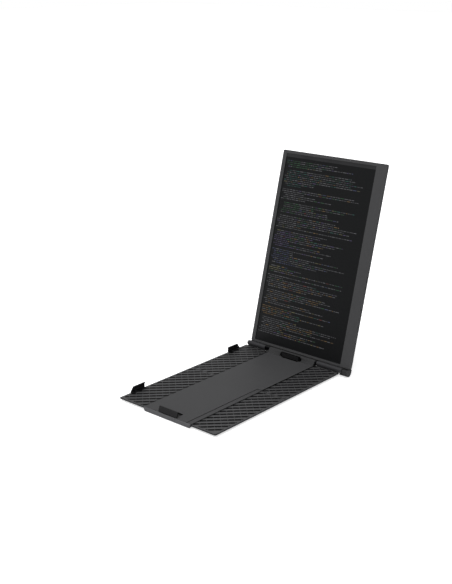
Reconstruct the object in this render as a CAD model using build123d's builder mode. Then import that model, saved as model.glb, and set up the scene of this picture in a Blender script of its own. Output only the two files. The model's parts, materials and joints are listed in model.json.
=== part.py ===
# Portable monitor standing portrait on a long clip-on base.
# Frame: origin on the table under the middle of the base, X to the viewer's right,
# Y towards the hinge, Z up. All sizes in millimetres.
import os
from math import cos, radians, sin

from build123d import *

os.makedirs("parts", exist_ok=True)

# Base body
body_half_width = 60.0
body_front = -187.0
foot_height = 1.0
floor_thickness = 1.2
steel_thickness = 1.2
plate_thickness = 1.8
shell_side_wall = 1.6
shell_inset = 1.5
cap_length = 3.0
cap_drop = 0.3
cap_taper = 3.0
cap_chamfer = 1.0

# Strip let into the right edge of the plate's front half
strip_width = 10.6
strip_gap = 0.5
strip_thickness = 0.6
strip_ledge = 0.5
seam_place = 204.0

# Wings that slide out from under the plate
left_wing_reach = 128.4
right_wing_reach = 119.4
wing_overlap = 12.0
left_wing_corner = 1.5
right_wing_corner = 4.0
rear_wing_corner = 0.8
tray_thickness = 1.5
panel_thickness = 1.2
tray_rim = 1.2
panel_fit = 0.3
slide_gap = 0.3
plate_gap = 0.4

# Rib lattice pressed into the wing panels
lattice_pitch = 12.9
lattice_angle = 45.0
left_lattice_shift = (-4.0, -0.7)
right_lattice_shift = (-2.0, -3.0)
pocket_length = 12.2
pocket_width = 7.0
pocket_depth = 0.9
panel_margin = 2.6
field_corner = 12.0
smallest_pocket = 2.5

# Spine rails under the plate
rail_gap = 1.7
rail_width = 4.0
rail_front_gap = 4.0
rail_rear_gap = 1.6

# Hinge
axis_y = 193.0
axis_z = 13.5
barrel_radius = 5.0
shaft_radius = 2.5
running_gap = 0.05
bar_overhang = 0.4
left_stack_width = 13.0
right_stack_width = 5.0
leaf_width = 16.0
leaf_thickness = 2.0
leaf_ring = 4.0
leaf_gap = 0.1
ear_width = 11.8
end_cap_thickness = 1.4
end_cap_radius = 4.6
washer_radius = 4.2
washer_thickness = 1.0
washer_pitch = 1.4
guard_radius = 6.3
guard_bore = 4.5
guard_gap = 0.2
sleeve_radius = 3.8
sleeve_length = 2.0
shaft_end_gap = 0.3
shaft_inset = 2.0
web_flank = 3.4
web_skirt = ((-2.9, -4.0), (-1.1, -6.4), (3.0, -5.7), (6.2, 1.8))
web_notch = 3.2
beam_height = 3.2
beam_setback = 0.6
ear_rim = 0.6
ear_heel = ((0.0, -1.6), (-0.8, -4.8), (-2.4, -7.7), (-4.8, -10.2))
ear_toe = ((2.5, -10.2), (-2.5, -8.0))
ear_foot_gap = 0.5
ear_throat = ((3.0, -7.1), (7.2, -1.8), (7.2, 1.2))
bore_overrun = 1.0
screw_spread = 5.0
block_ramp = 5.0
block_reach = 5.4
body_rear_gap = 0.5
wing_rear_reach = 0.7
block_clearance = 0.5
block_foot_margin = 1.0

# Clips on the centre line
clip_half_width = 23.7
clip_top = 18.8
clip_thickness = 3.0
clip_lift = 0.3
front_clip_lean = 4.0
rear_clip_lean = 1.0
clip_travel_front = 18.0
clip_travel_rear = 4.0
neck_half_width = 20.9
neck_thickness = 2.6
slot_gap = 0.5
carriage_length = 36.0
carriage_gap = 0.6
pad_thickness = 1.0
clip_pad_inset = 2.0
front_clip_outline = ((-1.0, 0.0), (1.0, 0.0), (1.0, 1.0), (-1.0, 1.0))
rear_clip_outline = (
    (-1.05, 0.0),
    (-1.16, 0.3),
    (-0.98, 1.0),
    (1.03, 1.0),
    (1.16, 0.65),
    (1.16, 0.2),
    (1.08, 0.0),
)

# Hooks on the left wing's outer edge
hook_length = 36.5
front_hook_inset = 48.3
rear_hook_inset = 42.7
hook_top = 17.5
hook_bulge = 1.2
hook_wall = 2.4
hook_foot = 7.6
hook_foot_thickness = 1.1
hook_lip = 3.6
hook_slant = 8.0
hook_pad_inset = 1.5
hook_screw_inset = 10.0

# Screen
tilt = 14.4
screen_left = -120.0
screen_width = 261.4
screen_height = 420.0
screen_thickness = 7.5
face_offset = 5.7
screen_lift = 5.2
screen_corner = 2.8
cover_wall = 1.4
cover_back = 1.3
back_round = 1.8
bezel_thickness = 0.9
bezel_side = 9.4
bezel_top = 6.2
bezel_bottom = 4.8
chin_width = 25.0
glass_overlap = 1.5
glass_thickness = 0.8
cell_thickness = 1.2
guide_thickness = 1.6
tray_sheet = 0.5
led_width = 1.2

# Boards, ports and buttons in the chin
board_width = 13.0
board_lift = 54.8
board_length = 150.0
board_thickness = 0.8
boss_height = 0.9
boss_radius = 2.2
port_height = 3.0
usb_width = 8.9
hdmi_width = 11.0
port_depth = 7.2
port_wall = 0.25
port_clearance = 0.25
tongue_thickness = 0.7
tongue_width = 6.4
tongue_setback = 1.0
usb_low = 32.0
usb_high = 50.0
hdmi_place = 70.0
tape_width = 16.0
tape_inset = 20.0
tape_side = 15.4
tape_gap = 1.7
board_chip_sizes = ((18.0, 8.0, 8.0), (86.0, 7.0, 10.0), (100.0, 5.0, 5.0), (140.0, 4.0, 6.0))
chip_thickness = 1.0
chip_inset = 1.0
cable_reach = 22.5
cable_grip = 3.0
cable_place = 90.0
cable_width = 20.0
cable_thickness = 0.3
chin_screw_shares = (0.05, 0.62, 0.95)
power_place = 112.0
rocker_place = 132.0
button_length = 8.0
rocker_length = 14.0
button_height = 2.4
button_proud = 0.6
button_gap = 0.3
button_travel = 0.5
switch_depth = 2.0
switch_width = 3.0
switch_slack = 0.1

# Small fasteners
screw_radius = 1.0
screw_head = 1.9
screw_head_height = 0.9
screw_reach = 3.2
base_screw_margin = 27.0
base_screw_count = 4
foot_length = 14.0
foot_width = 8.0
strip_rubber_width = 26.0
strip_rubber_length = 260.0

# Levels worked out from the driving sizes
floor_top = foot_height + floor_thickness
steel_top = floor_top + steel_thickness
tray_bottom = steel_top + slide_gap
tray_top = tray_bottom + tray_thickness
panel_top = tray_top + panel_thickness
plate_bottom = panel_top + plate_gap
plate_top = plate_bottom + plate_thickness
ledge_top = plate_bottom + strip_ledge
ledge_edge = body_half_width - strip_width - strip_gap
carriage_bottom = steel_top + plate_gap
rail_inner = clip_half_width + rail_gap
rail_outer = rail_inner + rail_width
carriage_half_width = rail_inner - carriage_gap
block_front = axis_y - block_reach
block_rear_top = axis_z - barrel_radius
body_rear = axis_y - body_rear_gap
rail_front = body_front + rail_front_gap
rail_rear = block_front - rail_rear_gap
wing_front = body_front + plate_gap
wing_rear = body_rear + wing_rear_reach
seam_y = body_front + seam_place
front_hook_y = wing_front + front_hook_inset
rear_hook_y = wing_rear - rear_hook_inset
screen_right = screen_left + screen_width
screen_top = screen_lift + screen_height
back_offset = face_offset + screen_thickness
glass_front = face_offset + bezel_thickness
cell_front = glass_front + glass_thickness
guide_front = cell_front + cell_thickness
tray_front = guide_front + guide_thickness
tray_back = tray_front + tray_sheet
inner_back = back_offset - cover_back
view_left = screen_left + bezel_side
view_right = screen_right - chin_width
view_bottom = screen_lift + bezel_bottom
view_top = screen_top - bezel_top
board_back = inner_back - boss_height
board_front = board_back - board_thickness
board_right = screen_right - cover_wall - panel_fit
board_left = board_right - board_width
board_bottom = screen_lift + board_lift
ear_left = screen_right - ear_width
left_bar = (screen_left - bar_overhang, -body_half_width - left_stack_width)
right_bar = (body_half_width + right_stack_width, ear_left - sleeve_length)
shaft_start = rail_outer - leaf_width
block_foot_half = rail_outer + block_foot_margin
ear_foot_left = right_wing_reach + ear_foot_gap
rear_clip_reach = clip_half_width * max(across for across, up in rear_clip_outline)

# Screen plane: X across, Y up the glass, Z out of the glass towards the viewer,
# with its origin on the hinge axis
screen_plane = Plane(
    origin=(0, axis_y, axis_z),
    x_dir=(1, 0, 0),
    z_dir=(0, -cos(radians(tilt)), sin(radians(tilt))),
)


def block(x_range, y_range, z_range, mode=Mode.ADD):
    """A box between two corners, given as three ranges."""
    low = (min(x_range), min(y_range), min(z_range))
    size = (
        max(x_range) - low[0],
        max(y_range) - low[1],
        max(z_range) - low[2],
    )
    with Locations(low):
        return Box(*size, align=(Align.MIN, Align.MIN, Align.MIN), mode=mode)


def slab(x_range, s_range, depth_range, mode=Mode.ADD):
    """A box in the screen plane; depth counts backwards from the hinge axis."""
    return block(x_range, s_range, (-depth_range[0], -depth_range[1]), mode=mode)


def rod(x_range, y, z, radius, mode=Mode.ADD):
    """A round bar along X."""
    length = x_range[1] - x_range[0]
    with Locations((x_range[0] + length / 2, y, z)):
        return Cylinder(radius, length, rotation=(0, 90, 0), mode=mode)


def save(builder, name):
    """Label a finished piece and write it."""
    builder.part.label = name
    export_step(builder.part, f"parts/{name}.step")


# Lower shell of the base
with BuildPart() as base_shell:
    shell_half = body_half_width - shell_inset
    block((-shell_half, shell_half), (body_front, body_rear), (foot_height, floor_top))
    for side in (-1, 1):
        inner = side * (shell_half - shell_side_wall)
        block((inner, side * shell_half), (body_front, body_rear), (floor_top, steel_top))
    block(
        (-shell_half, shell_half),
        (body_rear - shell_side_wall, body_rear),
        (floor_top, steel_top),
    )
    side_edges = base_shell.faces().sort_by(Axis.Z)[0].edges().filter_by(Axis.Y)
    chamfer(side_edges, floor_thickness * 0.6)
    screw_x = rail_inner + rail_width / 2
    screw_first = body_front + base_screw_margin
    screw_last = block_front - base_screw_margin
    screw_pitch = (screw_last - screw_first) / (base_screw_count - 1)
    screw_ys = [screw_first + index * screw_pitch for index in range(base_screw_count)]
    base_screw_points = [(x, y) for x in (-screw_x, screw_x) for y in screw_ys]
    with Locations([(x, y, foot_height) for x, y in base_screw_points]):
        Cylinder(
            screw_head,
            screw_head_height,
            align=(Align.CENTER, Align.CENTER, Align.MIN),
            mode=Mode.SUBTRACT,
        )
        Cylinder(
            screw_radius,
            floor_thickness,
            align=(Align.CENTER, Align.CENTER, Align.MIN),
            mode=Mode.SUBTRACT,
        )
save(base_shell, "base_shell")

# Steel plate that stiffens and weights the base
steel_half = body_half_width - shell_inset - shell_side_wall
steel_rear = body_rear - shell_side_wall
with BuildPart() as stiffener_plate:
    block((-steel_half, steel_half), (body_front, steel_rear), (floor_top, steel_top))
    with Locations([(x, y, floor_top) for x, y in base_screw_points]):
        Cylinder(
            screw_radius,
            steel_thickness,
            align=(Align.CENTER, Align.CENTER, Align.MIN),
            mode=Mode.SUBTRACT,
        )
save(stiffener_plate, "stiffener_plate")

# Two rails that carry the top plate and guide the clip carriages
with BuildPart() as spine_rails:
    for side in (-1, 1):
        block(
            (side * rail_inner, side * rail_outer),
            (rail_front, rail_rear),
            (steel_top, plate_bottom),
        )
    with Locations([(x, y, steel_top) for x, y in base_screw_points]):
        Cylinder(
            screw_radius,
            screw_reach + foot_height - steel_top,
            align=(Align.CENTER, Align.CENTER, Align.MIN),
            mode=Mode.SUBTRACT,
        )
save(spine_rails, "spine_rails")

# Top plate with its lowered ledge and the two clip slots
slot_half_width = neck_half_width + slot_gap
front_slot = (body_front, body_front + neck_thickness + clip_travel_front + 2 * slot_gap)
rear_slot_end = block_front
rear_slot = (rear_slot_end - neck_thickness - clip_travel_rear - 2 * slot_gap, rear_slot_end)
with BuildPart() as base_top_plate:
    block(
        (-body_half_width, body_half_width),
        (body_front, block_front),
        (plate_bottom, plate_top),
    )
    block(
        (ledge_edge, body_half_width),
        (body_front, seam_y),
        (ledge_top, plate_top),
        mode=Mode.SUBTRACT,
    )
    for slot in (front_slot, rear_slot):
        block(
            (-slot_half_width, slot_half_width),
            slot,
            (plate_bottom, plate_top),
            mode=Mode.SUBTRACT,
        )
    top_rim = base_top_plate.faces().sort_by(Axis.Z)[-1].edges().filter_by(Axis.Y)
    left_rim = top_rim.sort_by(Axis.X)[0]
    chamfer(left_rim, strip_gap)
save(base_top_plate, "base_top_plate")

with BuildPart() as side_strip:
    block(
        (body_half_width - strip_width, body_half_width),
        (body_front, seam_y - strip_gap),
        (ledge_top, ledge_top + strip_thickness),
    )
save(side_strip, "side_strip")

# Front cap: upright lip with slanted ends and a bevelled top edge
with BuildPart() as front_cap:
    cap_bottom = foot_height - cap_drop
    cap_top = plate_top - cap_drop
    with BuildSketch(Plane.XZ.offset(-body_front)):
        with BuildLine():
            Polyline(
                (-body_half_width + cap_taper, cap_bottom),
                (body_half_width - cap_taper / 2, cap_bottom),
                (body_half_width, cap_bottom + cap_taper / 2),
                (body_half_width, cap_top),
                (-body_half_width, cap_top),
                close=True,
            )
        make_face()
    extrude(amount=cap_length)
    lip = front_cap.faces().sort_by(Axis.Y)[0].edges().sort_by(Axis.Z)[-1]
    chamfer(lip, cap_chamfer)
save(front_cap, "front_cap")

# Hinge block: ramp and barrel at the rear of the plate, with guards under the washers
leaf_sides = (
    (-shaft_start - leaf_width, -shaft_start),
    (shaft_start, shaft_start + leaf_width),
)
leaf_y = (block_front + block_clearance, block_front + block_clearance + leaf_thickness)
hinge_screw_z = (steel_top + block_rear_top) / 2
hinge_screw_points = [
    (middle + shift, hinge_screw_z)
    for middle in (-shaft_start - leaf_width / 2, shaft_start + leaf_width / 2)
    for shift in (-screw_spread, screw_spread)
]
with BuildPart() as hinge_block:
    with BuildSketch(Plane.YZ.offset(-body_half_width)):
        with BuildLine():
            Polyline(
                (block_front - block_ramp, plate_top),
                (axis_y - barrel_radius * cos(radians(30)), axis_z + barrel_radius / 2),
                (axis_y, axis_z),
                (body_rear, block_rear_top),
                (body_rear, plate_bottom),
                (block_front, plate_bottom),
                (block_front, plate_top),
                close=True,
            )
        make_face()
        with Locations((axis_y, axis_z)):
            Circle(barrel_radius)
    extrude(amount=2 * body_half_width)
    block(
        (-block_foot_half, block_foot_half),
        (block_front, body_rear),
        (steel_top, plate_bottom),
    )
    block(
        (-rear_clip_reach - carriage_gap, rear_clip_reach + carriage_gap),
        (block_front - block_ramp, block_front),
        (plate_top, axis_z + barrel_radius),
        mode=Mode.SUBTRACT,
    )
    for guard_x in (
        (left_bar[1] + guard_gap, -body_half_width),
        (body_half_width, right_bar[0] - guard_gap),
    ):
        with BuildSketch(Plane.YZ.offset(guard_x[0])):
            with Locations((axis_y, axis_z)):
                Circle(guard_radius)
                Circle(guard_bore, mode=Mode.SUBTRACT)
            with Locations((axis_y, axis_z - guard_radius)):
                Rectangle(2 * guard_bore, 2 * guard_bore, mode=Mode.INTERSECT)
        extrude(amount=guard_x[1] - guard_x[0])
    for side, leaf_x in zip((-1, 1), leaf_sides):
        block(
            (leaf_x[0] - leaf_gap, leaf_x[1] + leaf_gap),
            (leaf_y[0] - leaf_gap, leaf_y[1] + leaf_gap),
            (steel_top, axis_z),
            mode=Mode.SUBTRACT,
        )
        bore_end = side * (body_half_width + bore_overrun)
        bore_start = side * (shaft_start - leaf_gap)
        rod(
            (min(bore_start, bore_end), max(bore_start, bore_end)),
            axis_y,
            axis_z,
            leaf_ring + leaf_gap,
            mode=Mode.SUBTRACT,
        )
    with Locations([Location((x, body_rear, z), (90, 0, 0)) for x, z in hinge_screw_points]):
        Cylinder(screw_head, 2 * screw_head_height, mode=Mode.SUBTRACT)
        Cylinder(screw_radius, 2 * (body_rear - leaf_y[0]), mode=Mode.SUBTRACT)
save(hinge_block, "hinge_block")

# Steel leaves that carry the hinge shafts
for name, leaf_x in zip(("left_hinge_leaf", "right_hinge_leaf"), leaf_sides):
    with BuildPart() as hinge_leaf:
        block(leaf_x, leaf_y, (steel_top, axis_z))
        rod(leaf_x, axis_y, axis_z, leaf_ring)
        rod(leaf_x, axis_y, axis_z, shaft_radius, mode=Mode.SUBTRACT)
        points = [p for p in hinge_screw_points if leaf_x[0] < p[0] < leaf_x[1]]
        with Locations([Location((x, leaf_y[0], z), (90, 0, 0)) for x, z in points]):
            Cylinder(screw_radius, 4 * leaf_thickness, mode=Mode.SUBTRACT)
    save(hinge_leaf, name)

with BuildPart() as hinge_screws:
    for x, z in hinge_screw_points:
        head_y = (body_rear - screw_head_height, body_rear)
        with Locations(Location((x, sum(head_y) / 2, z), (90, 0, 0))):
            Cylinder(screw_head, screw_head_height)
        with Locations(Location((x, (leaf_y[0] + body_rear) / 2, z), (90, 0, 0))):
            Cylinder(screw_radius, body_rear - leaf_y[0])
save(hinge_screws, "hinge_screws")

# Shafts fixed in the leaves; the screen's bars turn on them
left_shaft = (left_bar[0] + end_cap_thickness + shaft_end_gap, -shaft_start)
right_shaft = (shaft_start, screen_right - shaft_inset)
for name, reach in (("left_hinge_shaft", left_shaft), ("right_hinge_shaft", right_shaft)):
    with BuildPart() as hinge_shaft:
        rod(reach, axis_y, axis_z, shaft_radius)
    save(hinge_shaft, name)

# Stacks of friction washers in the gaps beside the barrel
washer_gap = washer_pitch - washer_thickness
with BuildPart() as friction_washers:
    for start, stop in ((left_bar[1], -body_half_width), (body_half_width, right_bar[0])):
        count = int((stop - start - washer_gap) / washer_pitch)
        for index in range(count):
            left = start + washer_gap + index * washer_pitch
            rod((left, left + washer_thickness), axis_y, axis_z, washer_radius)
            rod(
                (left, left + washer_thickness),
                axis_y,
                axis_z,
                shaft_radius,
                mode=Mode.SUBTRACT,
            )
save(friction_washers, "friction_washers")

with BuildPart() as base_screws:
    with Locations([(x, y, foot_height) for x, y in base_screw_points]):
        Cylinder(
            screw_head,
            screw_head_height,
            align=(Align.CENTER, Align.CENTER, Align.MIN),
        )
        Cylinder(
            screw_radius,
            screw_reach,
            align=(Align.CENTER, Align.CENTER, Align.MIN),
        )
save(base_screws, "base_screws")

# Rubber under the base
with BuildPart() as grip_strip:
    block(
        (-strip_rubber_width / 2, strip_rubber_width / 2),
        (-strip_rubber_length / 2, strip_rubber_length / 2),
        (0, foot_height),
    )
    fillet(grip_strip.edges().filter_by(Axis.Z), strip_rubber_width / 4)
save(grip_strip, "grip_strip")

with BuildPart() as rubber_feet:
    foot_x = body_half_width - shell_inset - foot_length
    foot_points = [
        (x, y)
        for x in (-foot_x, foot_x)
        for y in (body_front + foot_length, body_rear - foot_width)
    ]
    with BuildSketch():
        with Locations(foot_points):
            RectangleRounded(foot_length, foot_width, foot_width / 4)
    extrude(amount=foot_height)
save(rubber_feet, "rubber_feet")


def lattice_cells(x_range, y_range, shift):
    """Centres of the lattice cells that reach into a rectangle."""
    turn = radians(lattice_angle)
    reach = pocket_length / 2
    steps = int((max(map(abs, x_range)) + max(map(abs, y_range))) / lattice_pitch) + 1
    cells = []
    for i in range(-steps, steps + 1):
        for j in range(-steps, steps + 1):
            along = i * lattice_pitch + shift[0]
            across = j * lattice_pitch + shift[1]
            x = along * cos(turn) - across * sin(turn)
            y = along * sin(turn) + across * cos(turn)
            inside_x = x_range[0] - reach < x < x_range[1] + reach
            inside_y = y_range[0] - reach < y < y_range[1] + reach
            if inside_x and inside_y:
                cells.append((x, y))
    return cells


def ribbed_panel(x_range, y_range, shift):
    """A thin panel with a diagonal lattice of pockets inside a plain rim."""
    pocket_x = (x_range[0] + panel_margin, x_range[1] - panel_margin)
    pocket_y = (y_range[0] + panel_margin, y_range[1] - panel_margin)
    field_y = (wing_front + tray_rim + panel_margin, wing_rear - tray_rim - panel_margin)
    width = pocket_x[1] - pocket_x[0]
    cells = lattice_cells(pocket_x, pocket_y, shift)
    with BuildSketch(mode=Mode.PRIVATE) as field:
        with Locations([Location((x, y, 0), (0, 0, lattice_angle)) for x, y in cells]):
            Rectangle(pocket_length, pocket_width)
        with Locations((sum(pocket_x) / 2, sum(field_y) / 2)):
            RectangleRounded(width, field_y[1] - field_y[0], field_corner, mode=Mode.INTERSECT)
        with Locations((sum(pocket_x) / 2, sum(pocket_y) / 2)):
            Rectangle(width, pocket_y[1] - pocket_y[0], mode=Mode.INTERSECT)
    pockets = [face for face in field.sketch.faces() if face.area > smallest_pocket]
    with BuildPart() as panel:
        block(x_range, y_range, (tray_top, panel_top))
        with BuildSketch(Plane.XY.offset(panel_top)):
            add(pockets)
        extrude(amount=-pocket_depth, mode=Mode.SUBTRACT)
    return panel


def wing_tray(outer, inner, corner):
    """A wing's tray: flat floor with a raised rim on its three outer sides."""
    with BuildPart() as tray:
        block((outer, inner), (wing_front, wing_rear), (tray_bottom, panel_top))
        for end, radius in ((-1, rear_wing_corner), (0, corner)):
            upright = tray.edges().filter_by(Axis.Z).group_by(Axis.X)
            outer_side = upright[0] if outer < inner else upright[-1]
            fillet(outer_side.sort_by(Axis.Y)[end], radius)
        step = tray_rim if outer < inner else -tray_rim
        block(
            (outer + step, inner),
            (wing_front + tray_rim, wing_rear - tray_rim),
            (tray_top, panel_top),
            mode=Mode.SUBTRACT,
        )
    return tray


# Both wings, each with a front and a rear ribbed panel
wing_inner = body_half_width - wing_overlap
front_panel_y = (wing_front + tray_rim, seam_y - panel_fit)
rear_panel_y = (seam_y + panel_fit, wing_rear - tray_rim)
for name, outer, inner, corner, shift in (
    ("left", -left_wing_reach, -wing_inner, left_wing_corner, left_lattice_shift),
    ("right", right_wing_reach, wing_inner, right_wing_corner, right_lattice_shift),
):
    tray = wing_tray(outer, inner, corner)
    save(tray, f"{name}_wing_tray")
    step = tray_rim if outer < inner else -tray_rim
    panel_x = (min(outer + step, inner), max(outer + step, inner))
    save(ribbed_panel(panel_x, front_panel_y, shift), f"{name}_front_panel")
    save(ribbed_panel(panel_x, rear_panel_y, shift), f"{name}_rear_panel")

# Claw hooks that wrap the left wing's outer edge, each with a rubber pad and screws;
# the end that faces away from the other hook slants
hook_edge = -left_wing_reach
pad_low = panel_top + hook_foot_thickness
pad_high = hook_top - 1.5 * hook_wall
pad_face = hook_edge + hook_wall - hook_bulge
hook_screw_points = []
for name, place, outward in (("front", front_hook_y, -1), ("rear", rear_hook_y, 1)):
    slant_end = place + outward * hook_length / 2
    straight_end = place - outward * hook_length / 2
    with BuildPart() as hook:
        with BuildSketch(Plane.XZ.offset(-place - hook_length / 2)):
            with BuildLine():
                Polyline(
                    (hook_edge, tray_bottom),
                    (hook_edge - hook_bulge, tray_bottom + hook_bulge / 2),
                    (hook_edge - hook_bulge, hook_top - hook_bulge),
                    (hook_edge, hook_top),
                    (hook_edge + hook_lip, hook_top),
                    (hook_edge + hook_lip, hook_top - hook_wall / 2),
                    (pad_face + hook_wall / 4, hook_top - hook_wall * 0.8),
                    (pad_face, pad_high),
                    (pad_face, pad_low),
                    (hook_edge + hook_foot, pad_low),
                    (hook_edge + hook_foot, panel_top),
                    (hook_edge, panel_top),
                    close=True,
                )
            make_face()
        extrude(amount=hook_length)
        with BuildSketch(Plane.YZ.offset(hook_edge - hook_bulge)):
            with BuildLine():
                Polyline(
                    (slant_end, pad_low),
                    (slant_end - outward * hook_slant, hook_top),
                    (slant_end + outward, hook_top),
                    (slant_end + outward, pad_low),
                    close=True,
                )
            make_face()
        extrude(amount=hook_bulge + hook_foot, mode=Mode.SUBTRACT)
        screw_points = [
            (hook_edge + hook_foot * 0.64, place - hook_length / 2 + hook_screw_inset),
            (hook_edge + hook_foot * 0.64, place + hook_length / 2 - hook_screw_inset),
        ]
        hook_screw_points += screw_points
        with Locations([(x, y, panel_top) for x, y in screw_points]):
            Cylinder(
                screw_radius,
                hook_foot_thickness,
                align=(Align.CENTER, Align.CENTER, Align.MIN),
                mode=Mode.SUBTRACT,
            )
    save(hook, f"{name}_hook")
    with BuildPart() as hook_pad:
        block(
            (pad_face, pad_face + pad_thickness),
            (
                slant_end - outward * (hook_slant - hook_pad_inset),
                straight_end + outward * hook_pad_inset,
            ),
            (pad_low, pad_high),
        )
    save(hook_pad, f"{name}_hook_pad")

with BuildPart() as hook_screws:
    with Locations([(x, y, panel_top) for x, y in hook_screw_points]):
        Cylinder(
            screw_radius,
            hook_foot_thickness,
            align=(Align.CENTER, Align.CENTER, Align.MIN),
        )
    with Locations([(x, y, pad_low) for x, y in hook_screw_points]):
        Cylinder(
            screw_head,
            screw_head_height,
            align=(Align.CENTER, Align.CENTER, Align.MIN),
        )
save(hook_screws, "hook_screws")


def clip_jaw(outer_y, inward, lean, outline):
    """A clip's jaw, cut to its outline seen from the front, and the neck under it.

    The outline is given in shares of the clip's half width and of its height.
    """
    inner_y = outer_y + inward * clip_thickness
    jaw_bottom = plate_top + clip_lift
    half_width = clip_half_width * max(abs(across) for across, up in outline)
    height = clip_top - jaw_bottom
    corners = [(clip_half_width * across, jaw_bottom + height * up) for across, up in outline]
    with BuildPart() as jaw:
        with BuildSketch(Plane.YZ.offset(-half_width)):
            with BuildLine():
                Polyline(
                    (outer_y, jaw_bottom),
                    (outer_y + inward * lean, clip_top),
                    (outer_y + inward * (lean + clip_thickness * 0.7), clip_top),
                    (inner_y, jaw_bottom),
                    close=True,
                )
            make_face()
        extrude(amount=2 * half_width)
        with BuildSketch(Plane.XZ.offset(-outer_y)):
            with BuildLine():
                Polyline(*corners, close=True)
            make_face()
        extrude(amount=lean + 2 * clip_thickness, both=True, mode=Mode.INTERSECT)
        neck_y = outer_y + inward * (clip_thickness - neck_thickness) / 2
        block(
            (-neck_half_width, neck_half_width),
            (neck_y, neck_y + inward * neck_thickness),
            (panel_top, jaw_bottom),
        )
    return jaw


def clip_pad(outer_y, inward, lean):
    """The rubber facing on a jaw's inner side."""
    top = clip_top - clip_pad_inset / 2
    rise = (top - plate_top - clip_lift) / (clip_top - plate_top - clip_lift)
    face_low = outer_y + inward * clip_thickness
    face_high = face_low + inward * rise * (lean - clip_thickness * 0.3)
    half = clip_half_width - clip_pad_inset
    with BuildPart() as pad:
        with BuildSketch(Plane.YZ.offset(-half)):
            with BuildLine():
                Polyline(
                    (face_low, plate_top + clip_lift),
                    (face_high, top),
                    (face_high + inward * pad_thickness, top),
                    (face_low + inward * pad_thickness, plate_top + clip_lift),
                    close=True,
                )
            make_face()
        extrude(amount=2 * half)
    return pad


# The two clips on the centre line, each on its own sliding carriage
front_clip_y = body_front + slot_gap
rear_clip_y = block_front - slot_gap
for name, outer_y, inward, lean, outline in (
    ("front", front_clip_y, 1, front_clip_lean, front_clip_outline),
    ("rear", rear_clip_y, -1, rear_clip_lean, rear_clip_outline),
):
    save(clip_jaw(outer_y, inward, lean, outline), f"{name}_clip")
    save(clip_pad(outer_y, inward, lean), f"{name}_clip_pad")
    with BuildPart() as clip_carriage:
        block(
            (-carriage_half_width, carriage_half_width),
            (outer_y, outer_y + inward * carriage_length),
            (carriage_bottom, panel_top),
        )
    save(clip_carriage, f"{name}_clip_carriage")

# Screen: rear cover, an open tray with rounded back edges
screen_middle = (screen_left + screen_width / 2, screen_lift + screen_height / 2)
front_axis = Axis(screen_plane.origin, screen_plane.z_dir)
chin_screw_points = [
    (board_left + board_width / 2, screen_lift + share * screen_height)
    for share in chin_screw_shares
]
board_boss_points = [
    (x, s)
    for x in (board_left + boss_radius, board_right - boss_radius)
    for s in (board_bottom + boss_radius, board_bottom + board_length - boss_radius)
]
side_ports = (
    (board_bottom + usb_low, usb_width),
    (board_bottom + usb_high, usb_width),
    (board_bottom + hdmi_place, hdmi_width),
)
port_depths = (board_front - port_height, board_front)
button_middle = board_front - port_height / 2
button_depths = (button_middle - button_height / 2, button_middle + button_height / 2)
power_middle = board_bottom + power_place
rocker_middle = board_bottom + rocker_place
side_buttons = ((power_middle, button_length), (rocker_middle, rocker_length))
with BuildPart() as rear_cover:
    with BuildSketch(screen_plane.offset(-back_offset)):
        with Locations(screen_middle):
            RectangleRounded(screen_width, screen_height, screen_corner)
    extrude(amount=back_offset - glass_front)
    back_edges = rear_cover.faces().sort_by(front_axis)[0].edges()
    fillet(back_edges, back_round)
    with BuildSketch(screen_plane.offset(-inner_back)):
        with Locations(screen_middle):
            RectangleRounded(
                screen_width - 2 * cover_wall,
                screen_height - 2 * cover_wall,
                screen_corner - cover_wall,
            )
    extrude(amount=inner_back - glass_front, mode=Mode.SUBTRACT)
    with BuildSketch(screen_plane.offset(-inner_back)):
        with Locations(board_boss_points):
            Circle(boss_radius)
    extrude(amount=boss_height)
    with BuildSketch(screen_plane.offset(-back_offset)):
        with Locations(chin_screw_points):
            Circle(screw_head)
    extrude(amount=screw_head_height, mode=Mode.SUBTRACT)
    with BuildSketch(screen_plane.offset(-back_offset)):
        with Locations(chin_screw_points):
            Circle(screw_radius)
    extrude(amount=cover_back, mode=Mode.SUBTRACT)

# Slots in the cover's right wall for the ports and the buttons
with BuildPart(screen_plane) as side_slots:
    wall_x = (screen_right - 2 * cover_wall, screen_right + cover_wall)
    for place, width in side_ports:
        slab(
            wall_x,
            (
                place - width / 2 - port_clearance,
                place + width / 2 + port_clearance,
            ),
            (port_depths[0] - port_clearance, port_depths[1] + port_clearance),
        )
    for place, width in side_buttons:
        slab(
            wall_x,
            (place - width / 2 - button_gap, place + width / 2 + button_gap),
            (button_depths[0] - button_gap, button_depths[1] + button_gap),
        )
with BuildPart() as slotted_cover:
    add(rear_cover.part)
    add(side_slots.part, mode=Mode.SUBTRACT)
save(slotted_cover, "rear_cover")

# Front bezel with the wide chin, and the screw posts behind the chin
with BuildPart() as front_bezel:
    with BuildSketch(screen_plane.offset(-glass_front)):
        with Locations(screen_middle):
            RectangleRounded(screen_width, screen_height, screen_corner)
        with Locations(((view_left + view_right) / 2, (view_bottom + view_top) / 2)):
            Rectangle(view_right - view_left, view_top - view_bottom, mode=Mode.SUBTRACT)
    extrude(amount=bezel_thickness)
    with BuildSketch(screen_plane.offset(-inner_back)):
        with Locations(chin_screw_points):
            Circle(boss_radius)
    extrude(amount=inner_back - glass_front)
    with BuildSketch(screen_plane.offset(-inner_back)):
        with Locations(chin_screw_points):
            Circle(screw_radius)
    extrude(amount=screw_reach, mode=Mode.SUBTRACT)
save(front_bezel, "front_bezel")

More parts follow.
